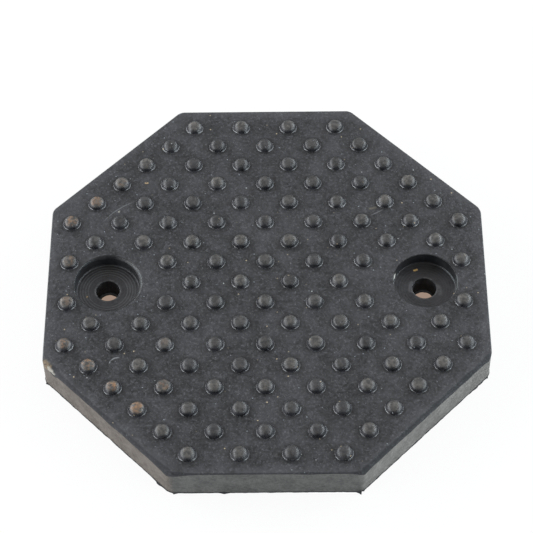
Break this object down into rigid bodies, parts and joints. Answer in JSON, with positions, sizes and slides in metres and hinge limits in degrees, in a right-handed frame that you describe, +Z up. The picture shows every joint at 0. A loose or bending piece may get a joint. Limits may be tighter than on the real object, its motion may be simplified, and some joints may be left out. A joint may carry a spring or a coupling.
{
  "type": "lift arm rubber pad",
  "caption": "Octagonal moulded rubber pad with raised grip studs on top and counterbored bolt holes, bolted to a vehicle lift arm to cushion the lifting point.",
  "frame": {"origin": "centre of the flat underside, midway between the two bolt holes", "axes": "+Z up through the raised studs, +X along the line of the two bolt holes"},
  "size_m": [0.133, 0.133, 0.0127],
  "materials": {
    "rubber": "matt moulded black rubber with a faint sheen"
  },
  "bodies": {
    "root": {"rubber_pad": "rubber"}
  },
  "joints": []
}
